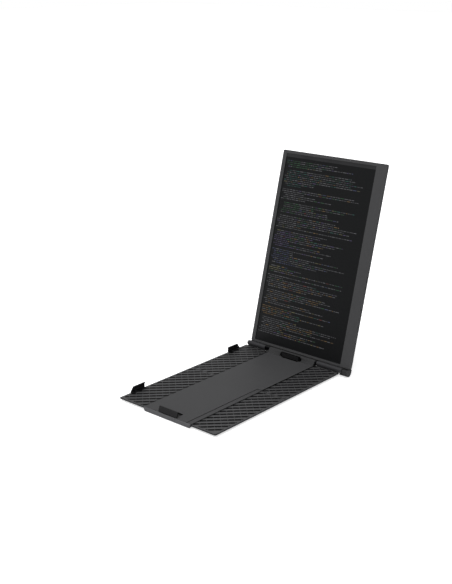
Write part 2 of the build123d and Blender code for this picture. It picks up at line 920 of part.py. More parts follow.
with BuildPart() as cover_screws:
    with BuildSketch(screen_plane.offset(-back_offset)):
        with Locations(chin_screw_points):
            Circle(screw_head)
    extrude(amount=screw_head_height)
    with BuildSketch(screen_plane.offset(-back_offset)):
        with Locations(chin_screw_points):
            Circle(screw_radius)
    extrude(amount=cover_back + screw_reach)
save(cover_screws, "cover_screws")

# Panel stack behind the bezel, front to back
glass_x = (view_left - glass_overlap, view_right + glass_overlap)
glass_s = (view_bottom - glass_overlap, view_top + glass_overlap)
frame_x = (glass_x[0] + tray_sheet, glass_x[1] - tray_sheet)
frame_s = (glass_s[0] + tray_sheet, glass_s[1] - tray_sheet)
for name, x_range, s_range, depth in (
    ("display_glass", glass_x, glass_s, (glass_front, cell_front)),
    ("liquid_crystal_cell", glass_x, glass_s, (cell_front, guide_front)),
    ("light_guide", (frame_x[0], frame_x[1] - led_width), frame_s, (guide_front, tray_front)),
    ("led_bar", (frame_x[1] - led_width, frame_x[1]), frame_s, (guide_front, tray_front)),
):
    with BuildPart(screen_plane) as layer:
        slab(x_range, s_range, depth)
    save(layer, name)

with BuildPart(screen_plane) as backlight_tray:
    slab(glass_x, glass_s, (guide_front, tray_back))
    slab(frame_x, frame_s, (guide_front, tray_front), mode=Mode.SUBTRACT)
save(backlight_tray, "backlight_tray")

with BuildPart(screen_plane) as panel_tapes:
    for tape_left in (
        glass_x[0] + tape_side,
        board_left - cable_reach - tape_gap - tape_width,
    ):
        slab(
            (tape_left, tape_left + tape_width),
            (glass_s[0] + tape_inset, glass_s[1] - tape_inset),
            (tray_back, inner_back),
        )
save(panel_tapes, "panel_tapes")

# Controller board with its chips, in the chin
board_s = (board_bottom, board_bottom + board_length)
with BuildPart(screen_plane) as controller_board:
    slab((board_left, board_right), board_s, (board_front, board_back))
save(controller_board, "controller_board")

with BuildPart(screen_plane) as board_chips:
    for place, width, length in board_chip_sizes:
        slab(
            (board_left + chip_inset, board_left + chip_inset + width),
            (board_bottom + place - length / 2, board_bottom + place + length / 2),
            (board_front - chip_thickness, board_front),
        )
save(board_chips, "board_chips")

cable_range = (board_bottom + cable_place, board_bottom + cable_place + cable_width)
with BuildPart(screen_plane) as panel_cable:
    slab(
        (board_left - cable_reach, board_left + cable_grip),
        cable_range,
        (board_back, board_back + cable_thickness),
    )
    slab(
        (board_left - cable_reach, board_left - cable_reach + cable_grip),
        cable_range,
        (tray_back, board_back),
    )
save(panel_cable, "panel_cable")

# Port shells on the board's edge, with the tongues inside them
port_x = (screen_right - cover_wall / 3 - port_depth, screen_right - cover_wall / 3)
with BuildPart(screen_plane) as port_shells:
    for place, width in side_ports:
        slab(port_x, (place - width / 2, place + width / 2), port_depths)
        slab(
            (port_x[0] + port_wall, port_x[1]),
            (place - width / 2 + port_wall, place + width / 2 - port_wall),
            (port_depths[0] + port_wall, port_depths[1] - port_wall),
            mode=Mode.SUBTRACT,
        )
save(port_shells, "port_shells")

with BuildPart(screen_plane) as port_tongues:
    for place, width in side_ports:
        slab(
            (port_x[0] + port_wall, port_x[1] - tongue_setback),
            (place - tongue_width / 2, place + tongue_width / 2),
            (button_middle - tongue_thickness / 2, button_middle + tongue_thickness / 2),
        )
save(port_tongues, "port_tongues")

# Power button, menu rocker and the switches behind them
button_x = (screen_right - cover_wall - button_proud, screen_right + button_proud)
for (place, width), name in zip(side_buttons, ("power_button", "menu_rocker")):
    with BuildPart(screen_plane) as button:
        slab(button_x, (place - width / 2, place + width / 2), button_depths)
        cap = button.faces().sort_by(Axis.X)[-1]
        fillet(cap.edges(), button_proud / 2)
    save(button, name)

switch_gap = button_travel + switch_slack
switch_x = (button_x[0] - switch_gap - switch_depth, button_x[0] - switch_gap)
rocker_arm = rocker_length / 3
with BuildPart(screen_plane) as button_switches:
    for place in (power_middle, rocker_middle - rocker_arm, rocker_middle + rocker_arm):
        slab(switch_x, (place - switch_width / 2, place + switch_width / 2), port_depths)
save(button_switches, "button_switches")

# Hinge bars, beam and ear on the screen's lower edge
web_points = (
    *web_skirt,
    (inner_back, web_skirt[-1][1]),
    (inner_back, screen_lift),
    (glass_front, screen_lift),
    (glass_front, web_notch),
    (web_flank, web_flank),
)
web_plane = Plane(origin=screen_plane.origin, x_dir=-screen_plane.z_dir, z_dir=(1, 0, 0))
for name, reach, bore_reach in (
    ("left_hinge_bar", left_bar, (left_bar[0] + end_cap_thickness, left_bar[1])),
    ("right_hinge_bar", right_bar, right_bar),
):
    with BuildPart() as hinge_bar:
        with BuildSketch(web_plane.offset(reach[0])):
            with BuildLine():
                Polyline(*web_points, close=True)
            make_face()
            Circle(barrel_radius)
        extrude(amount=reach[1] - reach[0])
        rod(bore_reach, axis_y, axis_z, shaft_radius + running_gap, mode=Mode.SUBTRACT)
    save(hinge_bar, name)

with BuildPart() as left_end_cap:
    rod((left_bar[0] - end_cap_thickness, left_bar[0]), axis_y, axis_z, end_cap_radius)
save(left_end_cap, "left_end_cap")

with BuildPart(screen_plane) as hinge_beam:
    slab(
        (left_bar[1], right_bar[0]),
        (screen_lift - beam_height, screen_lift),
        (glass_front + beam_setback, inner_back),
    )
save(hinge_beam, "hinge_beam")

with BuildPart() as bearing_sleeve:
    rod((right_bar[1], ear_left), axis_y, axis_z, sleeve_radius)
    rod((right_bar[1], ear_left), axis_y, axis_z, shaft_radius + running_gap, mode=Mode.SUBTRACT)
save(bearing_sleeve, "bearing_sleeve")

heel = [(back_offset + t, place) for t, place in ear_heel]
with BuildPart() as hinge_ear:
    with BuildSketch(web_plane.offset(ear_left)):
        with BuildLine():
            Polyline(
                (face_offset, screen_lift),
                (back_offset, screen_lift),
                *heel,
                *ear_toe,
                (0, screen_lift - ear_rim),
                close=True,
            )
        make_face()
        Circle(barrel_radius + ear_rim)
    extrude(amount=ear_width)
    with BuildSketch(web_plane.offset(ear_foot_left)):
        with BuildLine():
            Polyline(
                (back_offset, ear_throat[-1][1]),
                *heel,
                ear_toe[0],
                *ear_throat,
                close=True,
            )
        make_face()
    extrude(amount=ear_left - ear_foot_left)
    rod(
        (ear_left, right_shaft[1] + shaft_end_gap),
        axis_y,
        axis_z,
        shaft_radius + running_gap,
        mode=Mode.SUBTRACT,
    )
save(hinge_ear, "hinge_ear")
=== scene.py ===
"""Looks of a portable monitor that stands portrait on a long clip-on base.

Everything is in metres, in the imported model's frame: X to the viewer's right, Y from the
front lip to the hinge, Z up, with the origin on the table under the middle of the base.
"""

import json
from math import cos, pi, radians, sin

import bmesh
import bpy
import numpy as np
from bpy.props import FloatProperty, FloatVectorProperty, IntProperty, PointerProperty
from bpy.types import Operator, Panel, PropertyGroup
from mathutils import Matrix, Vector

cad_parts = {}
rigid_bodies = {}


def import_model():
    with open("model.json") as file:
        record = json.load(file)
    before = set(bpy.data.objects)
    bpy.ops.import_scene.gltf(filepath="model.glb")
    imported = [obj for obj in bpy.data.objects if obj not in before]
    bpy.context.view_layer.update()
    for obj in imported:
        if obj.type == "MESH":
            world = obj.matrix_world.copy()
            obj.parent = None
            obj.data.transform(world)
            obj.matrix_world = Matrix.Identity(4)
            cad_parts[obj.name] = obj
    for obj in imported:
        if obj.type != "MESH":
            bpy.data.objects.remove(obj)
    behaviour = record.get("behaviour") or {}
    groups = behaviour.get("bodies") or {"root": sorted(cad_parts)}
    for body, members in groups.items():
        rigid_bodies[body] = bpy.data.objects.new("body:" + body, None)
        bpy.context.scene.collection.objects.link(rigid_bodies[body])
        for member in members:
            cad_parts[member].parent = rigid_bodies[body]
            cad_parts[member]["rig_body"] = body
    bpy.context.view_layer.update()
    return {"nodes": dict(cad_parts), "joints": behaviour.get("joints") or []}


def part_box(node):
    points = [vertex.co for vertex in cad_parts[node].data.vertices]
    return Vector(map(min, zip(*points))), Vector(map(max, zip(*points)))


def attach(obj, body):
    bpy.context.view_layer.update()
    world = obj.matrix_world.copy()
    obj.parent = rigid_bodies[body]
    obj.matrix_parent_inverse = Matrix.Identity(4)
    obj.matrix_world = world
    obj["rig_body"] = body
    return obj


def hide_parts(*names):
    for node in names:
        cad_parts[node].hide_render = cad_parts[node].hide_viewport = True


bl_info = {
    "name": "Portable Monitor",
    "version": (1, 0, 0),
    "blender": (4, 5, 0),
    "location": "3D View > Sidebar > Monitor",
    "description": "Dresses the packed portable monitor and sets its stage",
    "category": "Object",
}

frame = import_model()
JOINTS = {joint["name"]: joint for joint in frame["joints"]}
BODY_OF = {node: piece["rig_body"] for node, piece in frame["nodes"].items()}
MM = 0.001
MERGE_DISTANCE = 2e-6
DOUBLE_DISTANCE = 1e-6
SHORTEST_SIDE = 1e-12
SHARPEST_TURN = -0.4
CORNER_SHARE = 0.45
FLAT_ANGLE = radians(0.6)
SMOOTH_ANGLE = radians(35.0)
BEVEL_ANGLE = radians(40.0)

MATT_ROUGHNESS, MATT_SPECULAR = 0.62, 0.14
RUBBER_SPECULAR, SCREEN_SPECULAR = 0.2, 0.1

# Noises of the finishes: bumps in a metre, detail and roughness.
PLASTIC_CLOUD, PLASTIC_SPARK = (9.0, 3.0), (1400.0, 2.0, 0.6)
RIB_CLOUD, RIB_SPARK = (14.0, 2.0), (1700.0, 2.0, 0.6)
METAL_STROKES = (2600.0, 3.0)
RUBBER_DUST, RUBBER_GRAIN = (260.0, 4.0, 0.65), (2200.0, 2.0)
GLASS_WASH, GLASS_HAZE = (6.0, 2.0), (5200.0, 2.0)
BAND_FADE = (30.0, 1.0)
PAPER_GRAIN = (3.0, 2.0)

# Reliefs of the finishes: height in metres and strength.
SPARK_RELIEF = (0.00003, 0.5)
STROKE_RELIEF = (0.00001, 0.4)
RUBBER_RELIEF = (0.00012, 0.6)
HAZE_RELIEF = (0.000004, 0.4)

# How much of the roughness the fine noise makes up.
SPARK_SHARE, RIB_SHARE, STROKE_SHARE, DUST_SHARE, HAZE_SHARE = 0.16, 0.12, 0.18, 0.16, 0.12


def sizes():
    """The scene's own sizes."""
    return bpy.context.scene.monitor_sizes


def colours():
    """The scene's own colours."""
    return bpy.context.scene.monitor_colours


def srgb(red, green, blue):
    """A linear colour from 0-255 display values."""
    value = np.array((red, green, blue)) / 255.0
    return tuple(np.where(value <= 0.04045, value / 12.92, ((value + 0.055) / 1.055) ** 2.4))


def toned(colour, factor):
    """A colour made darker or lighter."""
    return tuple(part * factor for part in colour)


def colour_value(name, description, rgb):
    """A colour setting, given in 0-255 display values."""
    return FloatVectorProperty(
        name=name,
        description=description,
        subtype="COLOR",
        size=3,
        min=0.0,
        max=1.0,
        default=srgb(*rgb),
    )


def length_value(name, description, millimetres):
    """A length setting, given in millimetres."""
    return FloatProperty(
        name=name,
        description=description,
        default=millimetres * MM,
        min=0.0,
        unit="LENGTH",
        precision=5,
    )


class MonitorSizes(PropertyGroup):
    """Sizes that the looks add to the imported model."""

    tilt: FloatProperty(
        name="Screen tilt",
        description="How far the screen leans back from upright at rest",
        default=radians(14.4),
        subtype="ANGLE",
    )
    soft_edge: length_value("Soft edge", "Width of the moulded edges' rounding", 0.35)
    rib_edge: length_value("Rib edge", "Width of the rounding on the ribs", 0.25)
    rib_depth: length_value("Rib depth", "How deep a pocket counts as dark", 0.12)
    # This margin is painted dark as the shade of the joint.
    seam_line: length_value("Seam line", "Dark margin beside the panels' joint", 0.9)
    shade_width: length_value("Shade width", "Shaded margin of the left ribs", 6.2)
    # Below this depth the plate's and the side strip's edges are painted black as shade.
    plate_skin: length_value("Plate skin", "How far down the plate's edge keeps its tone", 0.3)
    cross_reach: length_value("Cross reach", "Half length of the cross in a screw head", 1.15)
    cross_half: length_value("Cross half width", "Half width of the cross in a screw head", 0.26)
    knuckle: length_value("Knuckle radius", "Radius of the hinge's middle knuckle", 5.0)
    guard: length_value("Guard radius", "Radius of the guards under the washers", 6.3)
    seal_gap: length_value("Seal gap", "Clearance of the hinge seal round the knuckle", 0.4)
    seal_height: length_value("Seal height", "Thickness of the hinge seal", 1.9)
    slot_pitch: length_value("Slot pitch", "Distance between the sound slots on the back", 3.6)
    line_pitch: length_value("Line pitch", "Distance between lines on the display", 4.05)
    line_height: length_value("Line height", "Height of one dash on the display", 1.3)
    band_height: length_value("Band height", "Height of the band on the display", 7.5)
    picture_lift: length_value("Picture lift", "How far the picture lies over the glass", 0.03)
    lens: FloatProperty(
        name="Lens",
        description="Focal length over a 36 mm sensor on the long side",
        default=62.474,
        unit="CAMERA",
    )
    seed: IntProperty(name="Seed", description="Seed of the display's dashes", default=11)


class MonitorColours(PropertyGroup):
    """Colours of the monitor's finishes."""

    plate: colour_value("Plate", "Smooth top plate of the base", (62, 62, 63))
    rib_land: colour_value("Rib lands", "Raised lands of the ribbed panels", (68, 68, 69))
    # The pockets' floors are painted near black as their shade.
    rib_pocket_shade: colour_value("Rib pockets", "Floors of the ribbed panels' pockets", (7, 7, 8))
    shell: colour_value("Shell", "Lower shell and wing trays", (48, 48, 50))
    lip: colour_value("Lip", "Front lip of the base", (84, 84, 86))
    bezel: colour_value("Bezel", "Bezel and chin", (64, 64, 65))
    cover: colour_value("Cover", "Rear cover of the screen", (50, 50, 52))
    # Black is also the colour of the painted shade in gaps, holes and recesses.
    black: colour_value("Black", "Hooks, rear clip and other black pieces", (7, 7, 8))
    clip: colour_value("Clip", "Front clip", (26, 26, 27))
    display: colour_value("Display", "Display where it shows nothing", (11, 12, 13))
    title: colour_value("Title band", "Lighter band along the display's upper edge", (40, 40, 41))
    steel: colour_value("Steel", "Bare steel", (150, 150, 153))
    board: colour_value("Board", "Solder mask of the controller board", (16, 66, 40))
    floor: colour_value("Floor", "Floor under the monitor", (250, 250, 250))


def on_screen(across, up, back):
    """Points in the screen's own frame, as an array of positions.

    across runs along X, up runs up the glass and back runs away from the viewer, both from
    the hinge axis: y = axis_y + back cos(tilt) + up sin(tilt), and
    z = axis_z - back sin(tilt) + up cos(tilt).
    """
    tilt = sizes().tilt
    _, axis_y, axis_z = JOINTS["screen_tilt"]["pos_m"]
    across, up, back = np.broadcast_arrays(across, up, back)
    y = axis_y + back * cos(tilt) + up * sin(tilt)
    z = axis_z - back * sin(tilt) + up * cos(tilt)
    return np.stack((across, y, z), axis=-1)


def screen_box(node):
    """A node's lowest and highest (across, up, back) in the screen's own frame."""
    tilt = sizes().tilt
    _, axis_y, axis_z = JOINTS["screen_tilt"]["pos_m"]
    mesh = frame["nodes"][node].data
    points = np.empty(len(mesh.vertices) * 3)
    mesh.vertices.foreach_get("co", points)
    x, y, z = points.reshape(-1, 3).T
    y = y - axis_y
    z = z - axis_z
    own = np.stack((x, y * sin(tilt) + z * cos(tilt), y * cos(tilt) - z * sin(tilt)))
    return own.min(axis=1), own.max(axis=1)


def along_y(first, second, along):
    """Section in the XZ plane, carried along Y."""
    return np.stack(np.broadcast_arrays(first, along, second), axis=-1)


def along_z(first, second, along):
    """Outline in the XY plane, carried along Z."""
    return np.stack(np.broadcast_arrays(first, second, along), axis=-1)


def along_x(first, second, along):
    """Section in the YZ plane, carried along X."""
    return np.stack(np.broadcast_arrays(along, first, second), axis=-1)


def across_screen(first, second, along):
    """Section in the screen's own (back, up) plane, carried across along X."""
    return on_screen(along, second, first)


def rounded(corners, radius, steps=5):
    """A closed outline with each corner turned into a quadratic curve.

    The curve starts and ends a distance d from the corner C, with
    d = min(radius, CORNER_SHARE of the shorter side there), and its points are
    (1-u)^2 (C + d a) + 2u(1-u) C + u^2 (C + d b), where a and b point to the neighbours.
    """
    corners = np.asarray(corners, float)
    before = np.roll(corners, 1, axis=0) - corners
    after = np.roll(corners, -1, axis=0) - corners
    length_before = np.linalg.norm(before, axis=1, keepdims=True)
    length_after = np.linalg.norm(after, axis=1, keepdims=True)
    reach = np.minimum(radius, CORNER_SHARE * np.minimum(length_before, length_after))
    start = corners + before / length_before * reach
    stop = corners + after / length_after * reach
    u = np.linspace(0.0, 1.0, steps)[None, :, None]
    curve = (1 - u) ** 2 * start[:, None] + 2 * u * (1 - u) * corners[:, None]
    curve = curve + u**2 * stop[:, None]
    return curve.reshape(-1, 2)


def inset_directions(outline):
    """For each point of a closed outline, the move that insets both its sides by one unit.

    With n1 and n2 the inward normals of the two sides, the move is (n1 + n2) / (1 + n1.n2).
    """
    side = np.roll(outline, -1, axis=0) - outline
    side = side / np.maximum(np.linalg.norm(side, axis=1, keepdims=True), SHORTEST_SIDE)
    area = np.sum(outline[:, 0] * np.roll(outline[:, 1], -1)) - np.sum(
        outline[:, 1] * np.roll(outline[:, 0], -1)
    )
    turn = 1.0 if area > 0 else -1.0
    normal = turn * np.stack((-side[:, 1], side[:, 0]), axis=1)
    before = np.roll(normal, 1, axis=0)
    dot = np.sum(before * normal, axis=1, keepdims=True)
    return (before + normal) / (1.0 + np.maximum(dot, SHARPEST_TURN))


def new_piece(name, vertices, faces, body):
    """Makes a mesh object that rides on a body and takes a material slot's finish."""
    mesh = bpy.data.meshes.new(name)
    mesh.from_pydata(np.asarray(vertices, float).reshape(-1, 3).tolist(), [], faces)
    mesh.update()
    piece = bpy.data.objects.new(name, mesh)
    bpy.context.scene.collection.objects.link(piece)
    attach(piece, body)
    return piece


def turn_outwards(piece):
    """Merges doubles, points the faces outwards and shades smooth up to an angle."""
    shape = bmesh.new()
    shape.from_mesh(piece.data)
    bmesh.ops.remove_doubles(shape, verts=shape.verts, dist=DOUBLE_DISTANCE)
    bmesh.ops.recalc_face_normals(shape, faces=shape.faces)
    shape.to_mesh(piece.data)
    shape.free()
    piece.data.shade_smooth()
    piece.data.set_sharp_from_angle(angle=SMOOTH_ANGLE)


def ring_faces(rings, around, closed=True):
    """Quads between neighbouring rings of points, numbered ring by ring."""
    last = around if closed else around - 1
    ring, step = np.meshgrid(np.arange(rings - 1), np.arange(last), indexing="ij")
    following = (step + 1) % around
    corner = ring * around
    quads = np.stack(
        (corner + step, corner + following, corner + around + following, corner + around + step),
        axis=-1,
    )
    return quads.reshape(-1, 4).tolist()


def rounded_prism(name, outline, low, high, edge, place, body, steps=4):
    """A closed section carried straight from low to high, with rounded ends.

    Near each end the section is inset by edge (1 - cos a) while it stands edge (1 - sin a)
    short of the end, for a from 90 degrees at the end face to 0 on the side.
    """
    angle = np.linspace(pi / 2, 0.0, steps)
    inset = edge * (1 - np.cos(angle))
    short = edge * (1 - np.sin(angle))
    level = np.concatenate((low + short, (high - short)[::-1]))
    inset = np.concatenate((inset, inset[::-1]))
    outline = np.asarray(outline, float)
    moves = inset_directions(outline)
    points = outline[None] + inset[:, None, None] * moves[None]
    vertices = place(points[..., 0], points[..., 1], level[:, None])
    rings, around = points.shape[:2]
    faces = ring_faces(rings, around)
    faces.append(list(range(around)))
    faces.append(list(range((rings - 1) * around, rings * around)))
    piece = new_piece(name, vertices, faces, body)
    turn_outwards(piece)
    return piece


def softened(node, width, segments=2):
    """A copy of a CAD node with its flat faces joined up and its edges rounded."""
    source = frame["nodes"][node]
    piece = bpy.data.objects.new(f"{node}_soft", source.data.copy())
    bpy.context.scene.collection.objects.link(piece)
    shape = bmesh.new()
    shape.from_mesh(piece.data)
    bmesh.ops.remove_doubles(shape, verts=shape.verts, dist=MERGE_DISTANCE)
    bmesh.ops.dissolve_limit(
        shape, angle_limit=FLAT_ANGLE, verts=shape.verts, edges=shape.edges
    )
    bmesh.ops.recalc_face_normals(shape, faces=shape.faces)
    shape.to_mesh(piece.data)
    shape.free()
    piece.data.materials.clear()
    piece.data.shade_smooth()
    piece.data.set_sharp_from_angle(angle=SMOOTH_ANGLE)
    bevel = piece.modifiers.new("Soft edge", "BEVEL")
    bevel.width = width
    bevel.segments = segments
    bevel.limit_method = "ANGLE"
    bevel.angle_limit = BEVEL_ANGLE
    bevel.harden_normals = True
    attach(piece, BODY_OF[node])
    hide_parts(node)
    return piece


class Wire:
    """An output socket of a finish. Arithmetic on it adds the matching nodes."""

    def __init__(self, finish, socket):
        self.finish = finish
        self.socket = socket

    def _math(self, operation, first, second):
        return self.finish.node("ShaderNodeMath", {"operation": operation}, {0: first, 1: second})

    def __add__(self, other):
        return self._math("ADD", self, other)

    def __sub__(self, other):
        return self._math("SUBTRACT", self, other)

    def __mul__(self, other):
        return self._math("MULTIPLY", self, other)

    def __rsub__(self, other):
        return self._math("SUBTRACT", other, self)

    def over(self, level):
        return self._math("GREATER_THAN", self, level)

    def least(self, other):
        return self._math("MINIMUM", self, other)

    def most(self, other):
        return self._math("MAXIMUM", self, other)

    def wave(self):
        return self._math("SINE", self, 0.0)

    def size(self):
        return self._math("ABSOLUTE", self, 0.0)

    __radd__ = __add__
    __rmul__ = __mul__


class Finish:
    """A material, or the world's look, with one main shader, built from small steps."""

    def __init__(self, name, world=None, **constants):
        self.material = world or bpy.data.materials.new(name)
        self.material.use_nodes = True
        self.tree = self.material.node_tree
        self.shader = self.tree.nodes["Background" if world else "Principled BSDF"]
        self.use(**constants)

    def feed(self, socket, value):
        """Links a wire to a socket, or sets the socket's own value."""
        if isinstance(value, Wire):
            self.tree.links.new(value.socket, socket)
        elif isinstance(value, tuple) and len(value) == 3 and socket.type == "RGBA":
            socket.default_value = (*value, 1.0)
        else:
            socket.default_value = value

    def node(self, kind, settings=None, values=None, output=0):
        """Adds a node, sets what it is, then fills its sockets."""
        added = self.tree.nodes.new(kind)
        for key, value in (settings or {}).items():
            setattr(added, key, value)
        for key, value in (values or {}).items():
            self.feed(added.inputs[key], value)
        return Wire(self, added.outputs[output])

    def place(self):
        """Position on the object, in metres."""
        return self.node("ShaderNodeTexCoord", output="Object")

    def axes(self):
        """The three parts of the position."""
        split = self.node("ShaderNodeSeparateXYZ", values={0: self.place()})
        return [Wire(self, socket) for socket in split.socket.node.outputs]

    def noise(self, scale, detail=2.0, roughness=0.5, vector=None):
        """Smooth noise from 0 to 1, with that many bumps in a metre."""
        values = {
            "Vector": vector or self.place(),
            "Scale": scale,
            "Detail": detail,
            "Roughness": roughness,
        }
        return self.node("ShaderNodeTexNoise", values=values, output=0)

    def tint(self, factor, first, second):
        """A colour between two colours."""
        return self.node(
            "ShaderNodeMix", {"data_type": "RGBA"}, {0: factor, 6: first, 7: second}, 2
        )

    def bump(self, height, distance, strength=1.0):
        """A normal from a height between 0 and 1, in metres of relief."""
        return self.node(
            "ShaderNodeBump", values={"Height": height, "Distance": distance, "Strength": strength}
        )

    def use(self, **wires):
        """Feeds the main shader's sockets."""
        for socket, value in wires.items():
            self.feed(self.shader.inputs[socket.replace("_", " ")], value)
        return self.material


CLOUD_SHARE = 0.75


def moulded(
    name,
    colour,
    roughness=MATT_ROUGHNESS,
    spread=0.08,
    specular=MATT_SPECULAR,
    shade_below=None,
    shade_pits=None,
):
    """Matte moulded plastic: a fine spark texture and a faint cloudiness of tone.

    Tone runs from colour (1 - spread) to colour (1 + spread) with large noise, and the
    relief is fine noise a few hundredths of a millimetre high. Below the height shade_below
    the piece is painted black, the painted shade of the gap under its edge, and pits(finish)
    is a mask painted black as shade: holes, recesses and faces that lie in shade.
    """
    finish = Finish(name, Specular_IOR_Level=specular)
    cloud = finish.noise(*PLASTIC_CLOUD)
    speck = finish.noise(*PLASTIC_SPARK)
    shade = cloud * CLOUD_SHARE + speck * (1 - CLOUD_SHARE)
    rough = roughness + (speck - 0.5) * SPARK_SHARE
    tone = finish.tint(shade, toned(colour, 1 - spread), toned(colour, 1 + spread))
    black = tuple(colours().black)
    # Painted shade: black below shade_below and black where pits is one stand in for shade.
    if shade_below is not None:
        tone = finish.tint(finish.axes()[2].over(shade_below), black, tone)
    if shade_pits is not None:
        tone = finish.tint(shade_pits(finish), tone, black)
    return finish.use(
        Base_Color=tone,
        Roughness=rough,
        Normal=finish.bump(speck, *SPARK_RELIEF),
    )


WORN_TONE, SHADED_TONE, LAND_POLISH = 1.16, 0.35, 0.12


def ribbed(name, node, tone):
    """Ribbed panel: satin lands and pockets painted near black as their shade, told apart by
    height on the panel.

    A line seam_line wide on either side of the front and rear panels' joint is painted dark
    too, as the joint's shade, and on the left wing a margin beside the plate is painted in
    the plate's shade. With d the distance from the plate's edge, that shade clears as
    (d - shade_width) / seam_line does.
    """
    palette = colours()
    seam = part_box("left_rear_panel")[0].y
    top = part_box(node)[1].z
    finish = Finish(name, Specular_IOR_Level=MATT_SPECULAR)
    across, along, height = finish.axes()
    # Near the panels' joint the lands are painted dark as the joint's shade.
    land = height.over(top - sizes().rib_depth) * (along - seam).size().over(sizes().seam_line)
    speck = finish.noise(*RIB_SPARK)
    cloud = finish.noise(*RIB_CLOUD)
    # tone darkens this wing's lands as painted shade.
    plain = toned(palette.rib_land, tone)
    surface = finish.tint(cloud, plain, toned(plain, WORN_TONE))
    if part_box(node)[0].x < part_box("base_top_plate")[0].x:
        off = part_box("base_top_plate")[0].x - sizes().shade_width - across
        clear = (off * (1.0 / sizes().seam_line)).most(0.0).least(1.0)
        surface = finish.tint(clear, toned(plain, SHADED_TONE), surface)
    return finish.use(
        # The pockets are painted near black as their shade.
        Base_Color=finish.tint(land, tuple(palette.rib_pocket_shade), surface),
        Roughness=MATT_ROUGHNESS - land * LAND_POLISH + (speck - 0.5) * RIB_SHARE,
        Normal=finish.bump(speck, *SPARK_RELIEF),
    )


SQUEEZE, STROKE_TONE = 0.04, 0.82


def brushed(name, colour, direction, roughness=0.32):
    """Bare metal brushed along an axis: noise squeezed across the strokes."""
    finish = Finish(name, Metallic=1.0)
    squeeze = tuple(SQUEEZE if axis == direction else 1.0 for axis in "XYZ")
    squeezed = finish.node(
        "ShaderNodeMapping", values={"Vector": finish.place(), "Scale": squeeze}
    )
    strokes = finish.noise(*METAL_STROKES, vector=squeezed)
    return finish.use(
        Base_Color=finish.tint(strokes, toned(colour, STROKE_TONE), tuple(colour)),
        Roughness=roughness + strokes * STROKE_SHARE,
        Normal=finish.bump(strokes, *STROKE_RELIEF),
    )


GRAIN_HEIGHT, TREAD_HEIGHT = 0.3, 0.5
DUST_TONE, DUST_LIFT, RUBBER_ROUGHNESS = 1.7, 0.002, 0.72


def rubbery(name, colour, tread=0.0):
    """Black rubber: dull, faintly dusty, with fine treads where it grips the table."""
    finish = Finish(name, Specular_IOR_Level=RUBBER_SPECULAR)
    dust = finish.noise(*RUBBER_DUST)
    height = finish.noise(*RUBBER_GRAIN)
    if tread:
        along = finish.axes()[1]
        height = height * GRAIN_HEIGHT + (along * (2 * pi / tread)).wave() * TREAD_HEIGHT
    pale = tuple(part * DUST_TONE + DUST_LIFT for part in colour)
    return finish.use(
        Base_Color=finish.tint(dust, tuple(colour), pale),
        Roughness=RUBBER_ROUGHNESS + dust * DUST_SHARE,
        Normal=finish.bump(height, *RUBBER_RELIEF),
    )


def panel_box(corner_low, corner_high):
    """The four corners of a rectangle, anticlockwise."""
    (x0, y0), (x1, y1) = corner_low, corner_high
    return [(x0, y0), (x1, y0), (x1, y1), (x0, y1)]


def paint(piece, material):
    """Gives a piece one material."""
    piece.data.materials.clear()
    piece.data.materials.append(material)


def paint_node(node, material):
    """Gives a CAD node a better material without touching its mesh."""
    source = frame["nodes"][node]
    if source.data.materials:
        source.data.materials[0] = material
    else:
        source.data.materials.append(material)


def screen_axes(finish):
    """The position's parts across, up and back in the screen's own frame."""
    tilt = sizes().tilt
    _, axis_y, axis_z = JOINTS["screen_tilt"]["pos_m"]
    across, y, z = finish.axes()
    y, z = y - axis_y, z - axis_z
    return across, y * sin(tilt) + z * cos(tilt), y * cos(tilt) - z * sin(tilt)


SLOTS_FROM, SLOTS_TO = 58.0 * MM, 100.0 * MM
SLOTS_LOW, SLOTS_HIGH = 22.0 * MM, 30.0 * MM
COVER_SKIN, EAR_MARGIN, EAR_DROP = 0.4 * MM, 0.2 * MM, 1.8 * MM
GUARD_MARGIN, CLIP_SKIN = 0.1 * MM, 0.5 * MM


def sound_slot_shade(finish):
    """One in two fields of slots low on the back of the screen, painted black as the shade inside
    the openings.

    A slot is open where the sine along X, of period slot_pitch, exceeds a half, between
    two heights and two distances from the middle.
    """
    low, high = screen_box("rear_cover")
    across, up, back = screen_axes(finish)
    middle = 0.5 * (low[0] + high[0])
    off = (across - middle).size()
    field = off.over(SLOTS_FROM) * (1.0 - off.over(SLOTS_TO))
    rows = up.over(low[1] + SLOTS_LOW) * (1.0 - up.over(low[1] + SLOTS_HIGH))
    opening = (across * (2 * pi / sizes().slot_pitch)).wave().over(0.5)
    return opening * field * rows * back.over(high[2] - COVER_SKIN)


def ear_recess_shade(finish):
    """One on the ear's narrow foot beside the bar and from just under the chin upwards, where the
    ear is painted black as the shade of its recess.
    """
    low, _ = screen_box("front_bezel")
    across, up, _ = screen_axes(finish)
    foot = 1.0 - across.over(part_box("bearing_sleeve")[1].x + EAR_MARGIN)
    return foot.most(up.over(low[1] - EAR_DROP))


def washer_guard_shade(finish):
    """One on the hinge block's guards, which stick out sideways under the washers; they are
    painted black as the shade there.
    """
    return finish.axes()[0].size().over(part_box("base_top_plate")[1].x + GUARD_MARGIN)


def clip_end(finish):
    """One on the front clip's right end face, which lies in its own shade."""
    return finish.axes()[0].over(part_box("front_clip")[1].x - CLIP_SKIN)


